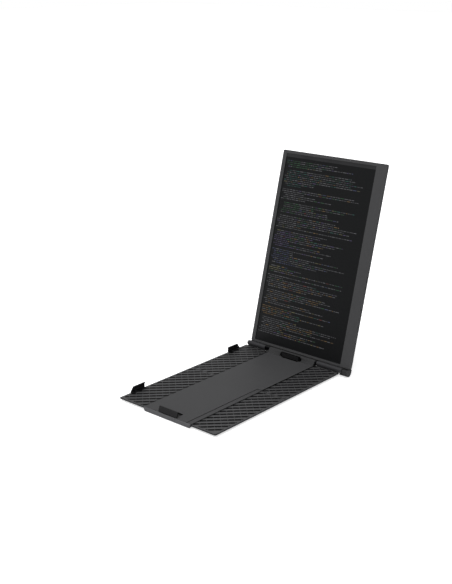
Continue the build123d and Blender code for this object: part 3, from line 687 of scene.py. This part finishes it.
class MONITOR_OT_base(Operator):
    """Base: plate, side strip, lip, lower shell and rails"""

    bl_idname = "monitor.base"
    bl_label = "Base"

    # BLOCK_TONE paints the hinge block darker than the plate, as painted shade.
    SHELL_ROUGHNESS, BLOCK_TONE = 0.6, 0.62
    STRIP_CORNER, STRIP_EDGE = 1.2 * MM, 0.25 * MM

    def execute(self, context):
        palette = colours()
        edge = sizes().soft_edge
        skin = sizes().plate_skin
        # The plate's faces below the plate skin are painted black as shade.
        plate = moulded(
            "plate_plastic",
            palette.plate,
            shade_below=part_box("base_top_plate")[1].z - skin,
        )
        # Painted shade: the hinge block is the plate's plastic painted darker.
        block = moulded(
            "block_plastic", toned(palette.plate, self.BLOCK_TONE), shade_pits=washer_guard_shade
        )
        shell = moulded("shell_plastic", palette.shell, self.SHELL_ROUGHNESS)
        lip = moulded("lip_plastic", palette.lip)
        paint(softened("base_top_plate", edge), plate)
        paint(softened("hinge_block", edge), block)
        low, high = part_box("side_strip")
        # The side strip's faces below the plate skin are painted black as shade.
        strip_plastic = moulded("strip_plastic", palette.plate, shade_below=high.z - skin)
        strip = rounded_prism(
            "side_strip_shaped",
            rounded(panel_box((low.x, low.y), (high.x, high.y)), self.STRIP_CORNER),
            low.z,
            high.z,
            self.STRIP_EDGE,
            along_z,
            "base",
        )
        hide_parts("side_strip")
        paint(strip, strip_plastic)
        paint(softened("front_cap", edge), lip)
        for node in ("base_shell", "spine_rails"):
            paint(softened(node, edge), shell)
        return {"FINISHED"}


class MONITOR_OT_wings(Operator):
    """Wings: trays with ribbed panels"""

    bl_idname = "monitor.wings"
    bl_label = "Wings"

    TRAY_ROUGHNESS = 0.6
    # Painted shade: the left wing's ribs are painted darker than the right wing's.
    SIDE_SHADES = (("left", 0.88), ("right", 0.97))

    def execute(self, context):
        tray = moulded("tray_plastic", colours().shell, self.TRAY_ROUGHNESS)
        for side, tone in self.SIDE_SHADES:
            paint(softened(f"{side}_wing_tray", sizes().soft_edge), tray)
            for end in ("front", "rear"):
                node = f"{side}_{end}_panel"
                paint(softened(node, sizes().rib_edge), ribbed(f"{node}_plastic", node, tone))
        return {"FINISHED"}


class MONITOR_OT_hooks(Operator):
    """Claw hooks with their rubber pads"""

    bl_idname = "monitor.hooks"
    bl_label = "Hooks"

    HOOK_EDGE, PAD_CORNER, PAD_EDGE = 0.6 * MM, 0.4 * MM, 0.4 * MM

    def execute(self, context):
        black = moulded("hook_plastic", colours().black, roughness=0.55, spread=0.2)
        rubber = rubbery("pad_rubber", colours().black)
        for end in ("front", "rear"):
            paint(softened(f"{end}_hook", self.HOOK_EDGE, segments=3), black)
            low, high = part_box(f"{end}_hook_pad")
            pad = rounded_prism(
                f"{end}_hook_pad_shaped",
                rounded(panel_box((low.x, low.z), (high.x, high.z)), self.PAD_CORNER),
                low.y,
                high.y,
                self.PAD_EDGE,
                along_y,
                "left_wing",
            )
            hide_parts(f"{end}_hook_pad")
            paint(pad, rubber)
        return {"FINISHED"}


class MONITOR_OT_clips(Operator):
    """Spring clips on the centre line, with pads and carriages"""

    bl_idname = "monitor.clips"
    bl_label = "Clips"

    CLIP_EDGE, PAD_EDGE, DEEP_TONE = 0.5 * MM, 0.25 * MM, 0.5

    def execute(self, context):
        clip = moulded("clip_plastic", colours().clip, shade_pits=clip_end)
        black = moulded("clip_black_plastic", colours().black, roughness=0.55, spread=0.2)
        rubber = rubbery("clip_rubber", colours().black)
        paint(softened("front_clip", self.CLIP_EDGE, segments=3), clip)
        # The rear clip is black plastic, painted darker still by DEEP_TONE as painted shade.
        deep = moulded(
            "rear_clip_plastic",
            toned(colours().black, self.DEEP_TONE),
            roughness=0.75,
            spread=0.2,
            specular=0.05,
        )
        paint(softened("rear_clip", self.CLIP_EDGE, segments=3), deep)
        for end in ("front", "rear"):
            paint(softened(f"{end}_clip_pad", self.PAD_EDGE), rubber)
            paint(softened(f"{end}_clip_carriage", sizes().soft_edge), black)
        return {"FINISHED"}


class MONITOR_OT_hinge(Operator):
    """Hinge: bars, beam, ear, sleeve, washers, leaves and shafts"""

    bl_idname = "monitor.hinge"
    bl_label = "Hinge"

    LIP_LIFT, LIP_ROOT, LIP_EDGE, LIP_POINTS = 0.1 * MM, 0.3 * MM, 0.15 * MM, 9
    BOOT_FROM, BOOT_TO, BOOT_POINTS = -30.0, 130.0, 25
    BOOT_WALL, BOOT_EDGE = 0.7 * MM, 0.1 * MM
    # EAR_TONE paints the ear darker than the bezel, as painted shade.
    EAR_TONE, EAR_EDGE = 0.5, 0.6 * MM
    SHAFT_STEEL, WASHER_STEEL = (46, 46, 49), (18, 18, 20)

    def lip(self, name, first, last, radius, rubber):
        """Rubber lip under the beam that reaches to a radius round the hinge axis.

        Its section runs from just inside the beam's front face to an arc with
        back = r cos a and up = r sin a, where a runs from the lip's underside to its top.
        """
        low, _ = screen_box("hinge_beam")
        under = low[1] + self.LIP_LIFT
        over = under + sizes().seal_height
        start, stop = np.arcsin(over / radius), np.arcsin(under / radius)
        angle = np.linspace(start, stop, self.LIP_POINTS)
        arc = np.stack((radius * np.cos(angle), radius * np.sin(angle)), axis=1)
        root = low[2] + self.LIP_ROOT
        outline = np.concatenate((arc, ((root, under), (root, over))))
        piece = rounded_prism(
            name, outline, first, last, self.LIP_EDGE, across_screen, "screen"
        )
        paint(piece, rubber)

    def boot(self, name, first, last, rubber):
        """Rubber boot over the washers, as wide round the axis as the knuckle.

        It is the part of a thin tube between the turns BOOT_FROM and BOOT_TO, in degrees
        upwards from the rear.
        """
        _, axis_y, axis_z = JOINTS["screen_tilt"]["pos_m"]
        outer = sizes().knuckle
        turn = np.radians(np.linspace(self.BOOT_FROM, self.BOOT_TO, self.BOOT_POINTS))
        radii = np.repeat((outer - self.BOOT_WALL, outer), turn.size)
        turn = np.concatenate((turn, turn[::-1]))
        section = np.stack((axis_y + radii * np.cos(turn), axis_z + radii * np.sin(turn)), axis=1)
        piece = rounded_prism(
            name, section, first, last, self.BOOT_EDGE, along_x, "base"
        )
        paint(piece, rubber)

    def seals(self, rubber):
        """Closes the slits over the knuckle and over the washers at its two ends."""
        size = sizes()
        gap = size.seal_gap
        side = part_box("base_top_plate")[1].x
        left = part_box("left_hinge_bar")[1].x
        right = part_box("right_hinge_bar")[0].x
        self.lip("hinge_seal", gap - side, side - gap, size.knuckle + gap, rubber)
        self.lip("left_washer_seal", left - gap, -side, size.guard + gap, rubber)
        self.lip("right_washer_seal", side, right + gap, size.guard + gap, rubber)
        self.boot("left_washer_boot", left + gap, -side, rubber)
        self.boot("right_washer_boot", side, right - gap, rubber)

    def execute(self, context):
        palette = colours()
        bar = moulded("bar_paint", palette.cover, roughness=0.5)
        black = moulded("hinge_black_plastic", palette.black, roughness=0.5, spread=0.2)
        # The ear is the bezel's plastic painted darker as shade, with its recess painted black as
        # shade.
        ear = moulded("ear_plastic", toned(palette.bezel, self.EAR_TONE), shade_pits=ear_recess_shade)
        for node in ("left_hinge_bar", "right_hinge_bar"):
            paint(softened(node, sizes().soft_edge), bar)
        for node in ("hinge_beam", "bearing_sleeve", "left_end_cap"):
            paint(softened(node, sizes().soft_edge), black)
        paint(softened("hinge_ear", self.EAR_EDGE, segments=3), ear)
        self.seals(rubbery("seal_rubber", palette.black))
        steel = brushed("leaf_steel", palette.steel, "X")
        dark = brushed("shaft_steel", srgb(*self.SHAFT_STEEL), "X", roughness=0.4)
        for node in ("left_hinge_leaf", "right_hinge_leaf"):
            paint_node(node, steel)
        for node in ("left_hinge_shaft", "right_hinge_shaft"):
            paint_node(node, dark)
        washer = brushed("washer_steel", srgb(*self.WASHER_STEEL), "X", roughness=0.6)
        paint_node("friction_washers", washer)
        return {"FINISHED"}


class MONITOR_OT_screen(Operator):
    """Screen: cover, bezel, glass, buttons and ports"""

    bl_idname = "monitor.screen"
    bl_label = "Screen"

    BUTTON_EDGE, GLASS_CORNER, GLASS_EDGE = 0.2 * MM, 1.5 * MM, 0.15 * MM
    WASH_TONES, GLASS_ROUGHNESS = (0.9, 1.12), 0.42

    def execute(self, context):
        palette = colours()
        # The slots on the cover are not cut; they are painted black as shade.
        cover = moulded("cover_plastic", palette.cover, shade_pits=sound_slot_shade)
        bezel = moulded("bezel_plastic", palette.bezel)
        button = moulded("button_plastic", palette.clip, roughness=0.45)
        paint(softened("rear_cover", sizes().soft_edge), cover)
        paint(softened("front_bezel", sizes().soft_edge), bezel)
        for node in ("power_button", "menu_rocker"):
            paint(softened(node, self.BUTTON_EDGE), button)
        glass = Finish("anti_glare_glass", Specular_IOR_Level=SCREEN_SPECULAR)
        haze = glass.noise(*GLASS_HAZE)
        wash = glass.noise(*GLASS_WASH)
        dark, light = (toned(palette.display, tone) for tone in self.WASH_TONES)
        material = glass.use(
            Base_Color=glass.tint(wash, dark, light),
            Roughness=self.GLASS_ROUGHNESS + haze * HAZE_SHARE,
            Normal=glass.bump(haze, *HAZE_RELIEF),
        )
        low, high = screen_box("display_glass")
        outline = rounded(panel_box(low[:2], high[:2]), self.GLASS_CORNER)
        pane = rounded_prism(
            "display_pane",
            outline,
            low[2],
            high[2],
            self.GLASS_EDGE,
            on_screen,
            "screen",
        )
        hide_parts("display_glass")
        paint(pane, material)
        paint_node("port_shells", brushed("port_steel", palette.steel, "X"))
        paint_node("port_tongues", moulded("tongue_plastic", palette.black))
        return {"FINISHED"}


class MONITOR_OT_picture(Operator):
    """Picture: plain coloured dashes in lines, as an editor window shows them"""

    bl_idname = "monitor.picture"
    bl_label = "Picture"

    INKS = (
        (102, 102, 105),
        (50, 90, 84),
        (54, 90, 62),
        (88, 78, 110),
        (122, 98, 64),
        (116, 62, 58),
        (112, 108, 80),
        (74, 80, 110),
    )
    TOP, BOTTOM, LEFT, RIGHT = 10.5 * MM, 15.0 * MM, 4.5 * MM, 8.0 * MM
    INDENT, GAP, SHORTEST, LONGEST = 5.0 * MM, 1.5 * MM, 2.0 * MM, 9.0 * MM
    LEAST_REACH, THEME_REACH = 16.0 * MM, 38.0 * MM
    BLOCK_LINES, MOST_INDENT, MOST_DASHES = (4, 10), 2, 90
    LOWER_FROM, LONG_CHANCE = 0.68, 0.74
    THEME_NEAR, THEME_FAR = 0.6, 0.14
    LONG_LINE, SHORT_LINE = (0.55, 0.98), (0.15, 0.5)
    RIM, BRIGHTNESS, BAND_LIFT, BAND_TONE = 1.5 * MM, (0.3, 0.78), 0.4, 0.8
    DASH_GLOW, BAND_GLOW, DASH_ROUGHNESS = 0.85, 0.6, 0.6
    DASH_BASE = (0.01, 0.01, 0.011)
    UPPER = (0.24, 0.22, 0.26, 0.1, 0.06, 0.02, 0.06, 0.04)
    LOWER = (0.24, 0.14, 0.18, 0.04, 0.32, 0.02, 0.04, 0.02)
    MIX = (0.66, 0.05, 0.06, 0.08, 0.06, 0.01, 0.05, 0.03)
    LOWER_MIX = (0.62, 0.05, 0.05, 0.02, 0.18, 0.02, 0.05, 0.01)

    def dashes(self, width, height):
        """Rectangles (x0, y0, x1, y1) and ink numbers, from the display's upper left corner.

        Lines lie line_pitch apart in blocks with an empty line between them. Each line has
        an indent, a length and dashes from SHORTEST to LONGEST with a GAP between them,
        all seeded. A block's theme ink is likelier near the left edge, and the lowest
        blocks favour amber.
        """
        size = sizes()
        chance = np.random.default_rng(size.seed)
        count = int((height - self.TOP - self.BOTTOM) / size.line_pitch)
        kinds = len(self.INKS)
        rectangles = []
        inks = []
        rest = 0
        for line in range(count):
            lower = line > self.LOWER_FROM * count
            if rest == 0:
                rest = int(chance.integers(*self.BLOCK_LINES))
                theme = int(chance.choice(kinds, p=self.LOWER if lower else self.UPPER))
                indent = int(chance.integers(0, self.MOST_INDENT))
                continue
            rest -= 1
            indent = int(np.clip(indent + chance.integers(-1, 2), 0, self.MOST_INDENT))
            left = self.LEFT + self.INDENT * indent
            shares = self.LONG_LINE if chance.random() < self.LONG_CHANCE else self.SHORT_LINE
            reach = left + chance.uniform(*shares) * (width - left - self.RIGHT)
            lengths = chance.uniform(self.SHORTEST, self.LONGEST, self.MOST_DASHES)
            starts = left + np.concatenate(((0.0,), np.cumsum(lengths + self.GAP)[:-1]))
            kept = starts + lengths < max(reach, left + self.LEAST_REACH)
            starts, lengths = starts[kept], lengths[kept]
            low = np.full(starts.size, self.TOP + line * size.line_pitch)
            mix = self.LOWER_MIX if lower else self.MIX
            ink = chance.choice(kinds, size=starts.size, p=mix)
            near = starts < left + self.THEME_REACH
            likely = np.where(near, self.THEME_NEAR, self.THEME_FAR)
            themed = chance.random(starts.size) < likely
            inks.append(np.where(themed, theme, ink))
            corners = (starts, low, starts + lengths, low + size.line_height)
            rectangles.append(np.stack(corners, axis=1))
        return np.concatenate(rectangles), np.concatenate(inks)

    def execute(self, context):
        size = sizes()
        glass_low, glass_high = screen_box("display_glass")
        left, right = glass_low[0] + self.RIM, glass_high[0] - self.RIM
        bottom, top = glass_low[1] + self.RIM, glass_high[1] - self.RIM
        boxes, inks = self.dashes(right - left, top - bottom)
        across = left + boxes[:, [0, 2, 2, 0]]
        up = top - boxes[:, [1, 1, 3, 3]]
        back = glass_low[2] - size.picture_lift
        vertices = on_screen(across, up, back)
        count = len(boxes)
        faces = np.arange(count * 4).reshape(-1, 4)[:, ::-1].tolist()
        ink = np.array([srgb(*values) for values in self.INKS])[inks]
        chance = np.random.default_rng(size.seed + 1)
        ink = ink * chance.uniform(*self.BRIGHTNESS, (count, 1))
        rgba = np.concatenate((ink, np.ones((count, 1))), axis=1).repeat(4, axis=0)
        picture = new_piece("display_dashes", vertices, faces, "screen")
        layer = picture.data.color_attributes.new("ink", "FLOAT_COLOR", "POINT")
        layer.data.foreach_set("color", rgba.astype(np.float32).ravel())
        finish = Finish(
            "dash_light",
            Specular_IOR_Level=SCREEN_SPECULAR,
            Roughness=self.DASH_ROUGHNESS,
            Emission_Strength=self.DASH_GLOW,
            Base_Color=self.DASH_BASE,
        )
        colour = finish.node("ShaderNodeAttribute", {"attribute_name": "ink"}, output="Color")
        paint(picture, finish.use(Emission_Color=colour))
        under = top - size.band_height
        band_points = on_screen(
            np.array((left, right, right, left)),
            np.array((under, under, top, top)),
            back + self.BAND_LIFT * size.picture_lift,
        )
        band = new_piece("display_title_band", band_points, [[0, 1, 2, 3]], "screen")
        glow = Finish(
            "title_light",
            Specular_IOR_Level=SCREEN_SPECULAR,
            Emission_Strength=self.BAND_GLOW,
        )
        fade = glow.noise(*BAND_FADE)
        dim = toned(colours().title, self.BAND_TONE)
        paint(
            band,
            glow.use(
                Emission_Color=glow.tint(fade, dim, tuple(colours().title)),
                Base_Color=glow.tint(fade, tuple(colours().display), dim),
            ),
        )
        return {"FINISHED"}


class MONITOR_OT_inside(Operator):
    """Pieces inside the screen and the base"""

    bl_idname = "monitor.inside"
    bl_label = "Inside"

    PLATE_STEEL, TRAY_METAL, CHIP_RESIN = (58, 58, 61), (196, 197, 200), (30, 30, 31)
    FILM_LIGHT, FILM_DARK = (150, 96, 30), (96, 58, 18)
    GUIDE_ACRYLIC, LED_PHOSPHOR = (226, 229, 232), (236, 222, 150)
    GLAZE, TRACK_SCALE, TRACK_TONE, FILM_WAVES = 0.35, 420.0, 1.9, 6000.0

    def execute(self, context):
        palette = colours()
        steel = brushed("plate_steel", srgb(*self.PLATE_STEEL), "Y", roughness=0.5)
        paint_node("stiffener_plate", steel)
        board = Finish("board_mask", Roughness=self.GLAZE)
        tracks = board.node(
            "ShaderNodeTexVoronoi",
            {"distance": "MANHATTAN", "feature": "F1"},
            {"Vector": board.place(), "Scale": self.TRACK_SCALE},
        )
        traced = toned(palette.board, self.TRACK_TONE)
        paint_node(
            "controller_board",
            board.use(Base_Color=board.tint(tracks, traced, tuple(palette.board))),
        )
        chip = moulded("chip_resin", srgb(*self.CHIP_RESIN), roughness=0.5)
        for node in ("board_chips", "button_switches", "panel_tapes"):
            paint_node(node, chip)
        film = Finish("cable_film", Roughness=self.GLAZE)
        stripe = (film.axes()[0] * self.FILM_WAVES).wave() * 0.5 + 0.5
        copper = film.tint(stripe, srgb(*self.FILM_LIGHT), srgb(*self.FILM_DARK))
        paint_node("panel_cable", film.use(Base_Color=copper))
        tray = brushed("tray_aluminium", srgb(*self.TRAY_METAL), "X", roughness=0.36)
        paint_node("backlight_tray", tray)
        guide = moulded("guide_acrylic", srgb(*self.GUIDE_ACRYLIC), roughness=0.12)
        paint_node("light_guide", guide)
        cell = moulded("cell_film", palette.display, roughness=0.3)
        paint_node("liquid_crystal_cell", cell)
        paint_node("led_bar", moulded("led_phosphor", srgb(*self.LED_PHOSPHOR), roughness=0.5))
        return {"FINISHED"}


class MONITOR_OT_fasteners(Operator):
    """Screws with crossed heads, rubber feet and grip strip"""

    bl_idname = "monitor.fasteners"
    bl_label = "Fasteners and feet"

    RIM_DEPTH, HEAD_REACH, CROSS_LIFT, ROUNDING = 0.05 * MM, 4.5 * MM, 0.02 * MM, 5
    SCREW_STEEL, TREAD, FOOT_EDGE = (60, 60, 63), 1.6 * MM, 0.25 * MM

    def crosses(self, node, outwards):
        """Black crosses on the flat heads of a node's screws, painted as the shade inside the
        cross recess.

        A head's middle is the mean of the face corners that lie furthest outwards, sorted
        into heads by distance. The cross's twelve corners are (+-a, +-b) and (+-b, +-a) for
        a long half a and a narrow half b, on a plane just over the head.
        """
        mesh = frame["nodes"][node].data
        points = np.empty(len(mesh.vertices) * 3)
        mesh.vertices.foreach_get("co", points)
        points = points.reshape(-1, 3)
        outwards = np.array(outwards) / np.linalg.norm(outwards)
        depth = points @ outwards
        rim = points[depth > depth.max() - self.RIM_DEPTH]
        together = np.linalg.norm(rim[:, None] - rim[None], axis=2) < self.HEAD_REACH
        middles = (together @ rim) / together.sum(axis=1, keepdims=True)
        middles = np.unique(np.round(middles, self.ROUNDING), axis=0)
        side = np.cross(outwards, (1.0, 0.0, 0.0))
        a, b = sizes().cross_reach, sizes().cross_half
        outline = np.array(
            [
                (a, -b), (a, b), (b, b), (b, a), (-b, a), (-b, b),
                (-a, b), (-a, -b), (-b, -b), (-b, -a), (b, -a), (b, -b),
            ]
        )
        flat = outline[:, :1] * np.array((1.0, 0.0, 0.0)) + outline[:, 1:] * side
        vertices = middles[:, None] + flat[None] + self.CROSS_LIFT * outwards
        corners = len(outline)
        faces = np.arange(len(middles) * corners).reshape(-1, corners).tolist()
        return new_piece(f"{node}_crosses", vertices, faces, BODY_OF[node])

    def execute(self, context):
        screw = brushed("screw_steel", srgb(*self.SCREW_STEEL), "X", roughness=0.42)
        for node in ("base_screws", "hinge_screws", "hook_screws", "cover_screws"):
            paint_node(node, screw)
        # The crosses are flat and painted black as the shade in the recesses.
        recess = moulded("recess_black", colours().black, roughness=0.7)
        tilt = sizes().tilt
        behind = (0.0, cos(tilt), -sin(tilt))
        for node, outwards in (
            ("base_screws", (0.0, 0.0, -1.0)),
            ("hinge_screws", (0.0, 1.0, 0.0)),
            ("hook_screws", (0.0, 0.0, 1.0)),
            ("cover_screws", behind),
        ):
            paint(self.crosses(node, outwards), recess)
        rubber = rubbery("foot_rubber", colours().black, tread=self.TREAD)
        for node in ("grip_strip", "rubber_feet"):
            paint(softened(node, self.FOOT_EDGE), rubber)
        return {"FINISHED"}


def background_mask(finish):
    """One for rays that show the background: from the camera, a gloss or a glass."""
    path = finish.node("ShaderNodeLightPath")
    outputs = path.socket.node.outputs
    seen = [
        Wire(finish, outputs[name])
        for name in ("Is Camera Ray", "Is Glossy Ray", "Is Transmission Ray")
    ]
    return seen[0].most(seen[1]).most(seen[2])


class MONITOR_OT_stage(Operator):
    """Stage: pale floor, soft studio light and the camera"""

    bl_idname = "monitor.stage"
    bl_label = "Stage"

    LIGHTS = (
        ("key_light", (-0.6, -0.9, 3.0), 1.15, 40.0),
        ("fill_light", (0.4, -2.6, 1.3), 0.4, 60.0),
    )
    FLOOR_HALF, FLOOR_LEVEL = 14.0, -0.0003
    CAMERA_PLACE = (1.2114, -1.4041, 0.8049)
    LOOK_DOWN, LOOK_LEFT = 18.007, 41.221
    SENSOR, FAR_END = 36.0, 100.0
    PAPER_TONE, PAPER_GLOW, PAPER_ROUGHNESS = 0.985, 0.62, 0.9
    SKY, BACKGROUND, BLACK = (0.6, 0.6, 0.605), (1.0, 1.0, 1.0), (0.0, 0.0, 0.0)

    def execute(self, context):
        scene = context.scene
        scene.view_settings.view_transform = "Standard"
        mesh = bpy.data.meshes.new("floor")
        flat = panel_box((-self.FLOOR_HALF,) * 2, (self.FLOOR_HALF,) * 2)
        corners = [(x, y, self.FLOOR_LEVEL) for x, y in flat]
        mesh.from_pydata(corners, [], [(0, 1, 2, 3)])
        floor = bpy.data.objects.new("floor", mesh)
        scene.collection.objects.link(floor)
        paper = Finish(
            "floor_paper",
            Roughness=self.PAPER_ROUGHNESS,
            Specular_IOR_Level=0.0,
            Emission_Strength=1.0,
        )
        grain = paper.noise(*PAPER_GRAIN)
        shade = toned(colours().floor, self.PAPER_TONE)
        glow = toned(colours().floor, self.PAPER_GLOW)
        paint(
            floor,
            paper.use(
                Base_Color=paper.tint(grain, shade, tuple(colours().floor)),
                Emission_Color=paper.tint(background_mask(paper), self.BLACK, glow),
            ),
        )
        world = bpy.data.worlds.new("studio")
        scene.world = world
        sky = Finish("sky", world, Strength=1.0)
        sky.use(Color=sky.tint(background_mask(sky), self.SKY, self.BACKGROUND))
        for name, place, strength, softness in self.LIGHTS:
            lamp = bpy.data.lights.new(name, "SUN")
            lamp.energy = strength
            lamp.angle = radians(softness)
            holder = bpy.data.objects.new(name, lamp)
            scene.collection.objects.link(holder)
            holder.location = place
            holder.rotation_euler = (-Vector(place)).to_track_quat("-Z", "Y").to_euler()
        camera_data = bpy.data.cameras.new("camera")
        camera_data.sensor_width = self.SENSOR
        camera_data.lens = sizes().lens
        camera_data.clip_end = self.FAR_END
        camera = bpy.data.objects.new("camera", camera_data)
        scene.collection.objects.link(camera)
        camera.location = self.CAMERA_PLACE
        camera.rotation_euler = (radians(90.0 - self.LOOK_DOWN), 0.0, radians(self.LOOK_LEFT))
        scene.camera = camera
        return {"FINISHED"}


OPERATORS = (
    MONITOR_OT_stage,
    MONITOR_OT_base,
    MONITOR_OT_wings,
    MONITOR_OT_hooks,
    MONITOR_OT_clips,
    MONITOR_OT_hinge,
    MONITOR_OT_screen,
    MONITOR_OT_picture,
    MONITOR_OT_inside,
    MONITOR_OT_fasteners,
)


class MONITOR_PT_pieces(Panel):
    """Sidebar list of the monitor's pieces and settings"""

    bl_idname = "MONITOR_PT_pieces"
    bl_label = "Portable Monitor"
    bl_space_type = "VIEW_3D"
    bl_region_type = "UI"
    bl_category = "Monitor"

    def draw(self, context):
        for operator in OPERATORS:
            self.layout.operator(operator.bl_idname)
        for settings in (context.scene.monitor_sizes, context.scene.monitor_colours):
            box = self.layout.box()
            for name in settings.__annotations__:
                box.prop(settings, name)


CLASSES = (MonitorSizes, MonitorColours, *OPERATORS, MONITOR_PT_pieces)


def register():
    """Registers the classes and the scene's settings."""
    for item in CLASSES:
        bpy.utils.register_class(item)
    bpy.types.Scene.monitor_sizes = PointerProperty(type=MonitorSizes)
    bpy.types.Scene.monitor_colours = PointerProperty(type=MonitorColours)


def unregister():
    """Removes what register added."""
    del bpy.types.Scene.monitor_colours
    del bpy.types.Scene.monitor_sizes
    for item in reversed(CLASSES):
        bpy.utils.unregister_class(item)


def main():
    """Builds every piece in order."""
    register()
    for operator in OPERATORS:
        group, name = operator.bl_idname.split(".")
        getattr(getattr(bpy.ops, group), name)()


if __name__ == "__main__":
    main()
